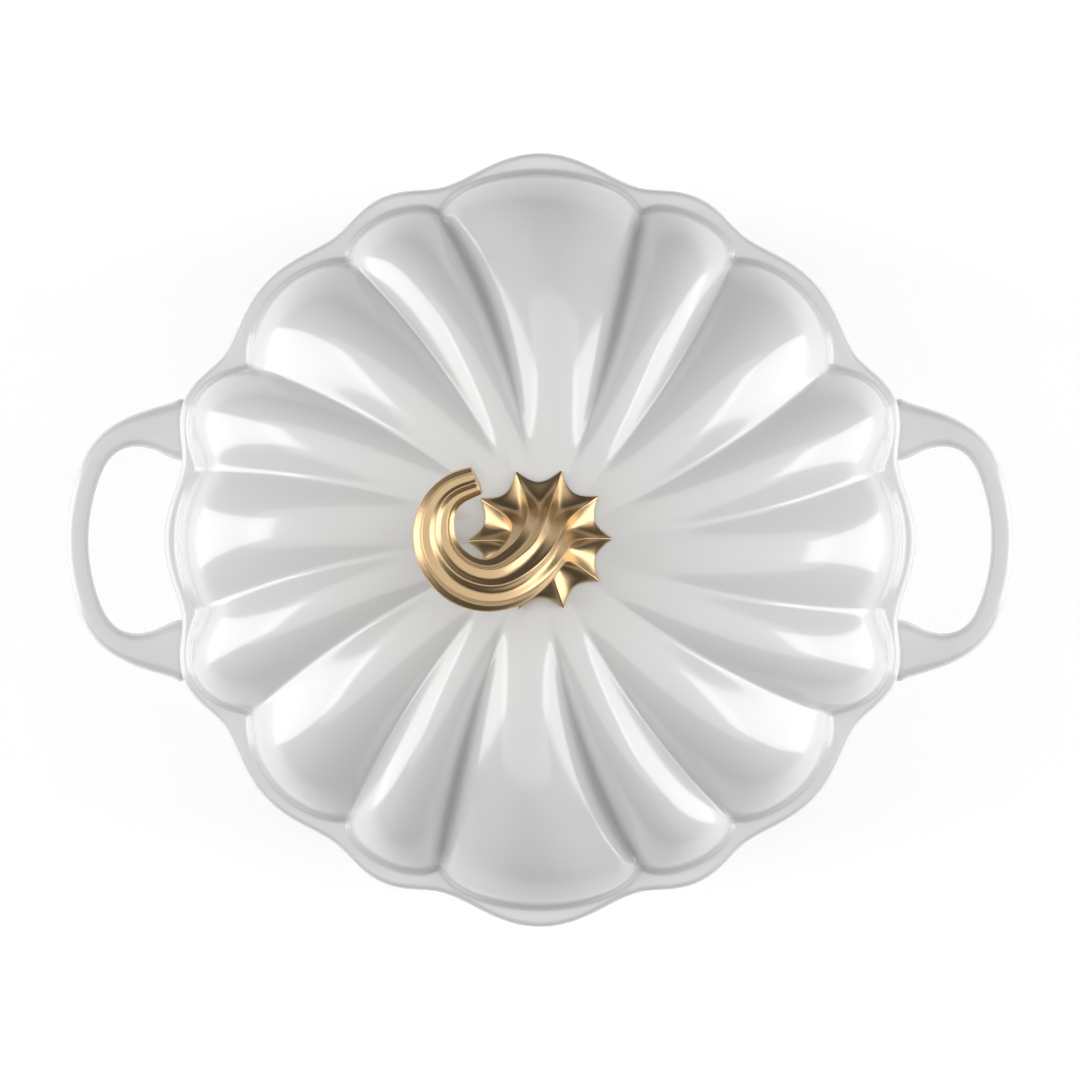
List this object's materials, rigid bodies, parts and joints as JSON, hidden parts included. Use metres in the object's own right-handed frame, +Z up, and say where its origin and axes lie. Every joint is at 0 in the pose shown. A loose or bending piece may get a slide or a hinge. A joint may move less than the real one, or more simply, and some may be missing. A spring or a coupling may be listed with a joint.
{
  "type": "pumpkin-shaped casserole with lid",
  "caption": "Round lidded casserole ribbed like a pumpkin, with a loop handle on each side and a curled pumpkin-stalk knob screwed to the lid.",
  "frame": {"origin": "middle of the flat underside of the pot's foot, in the plane it stands on", "axes": "+Z up through the lid and knob, +X out through the middle of the right handle, -Y towards the front"},
  "size_m": [0.3202, 0.2614, 0.1966],
  "materials": {
    "enamel": "gloss",
    "gilt": "satin",
    "silicone": "matte",
    "steel": "satin"
  },
  "bodies": {
    "pot": {"pot_body": "enamel", "left_handle": "enamel", "right_handle": "enamel"},
    "lid_assembly": {"lid": "enamel", "stem_knob": "gilt", "knob_gasket": "silicone", "flat_washer": "steel", "lock_washer": "steel", "knob_screw": "steel"}
  },
  "joints": [
    {"name": "lid_lift", "type": "slide", "parent": "pot", "child": "lid_assembly", "axis": [0, 0, 1], "range_m": [0, 0.15]}
  ]
}
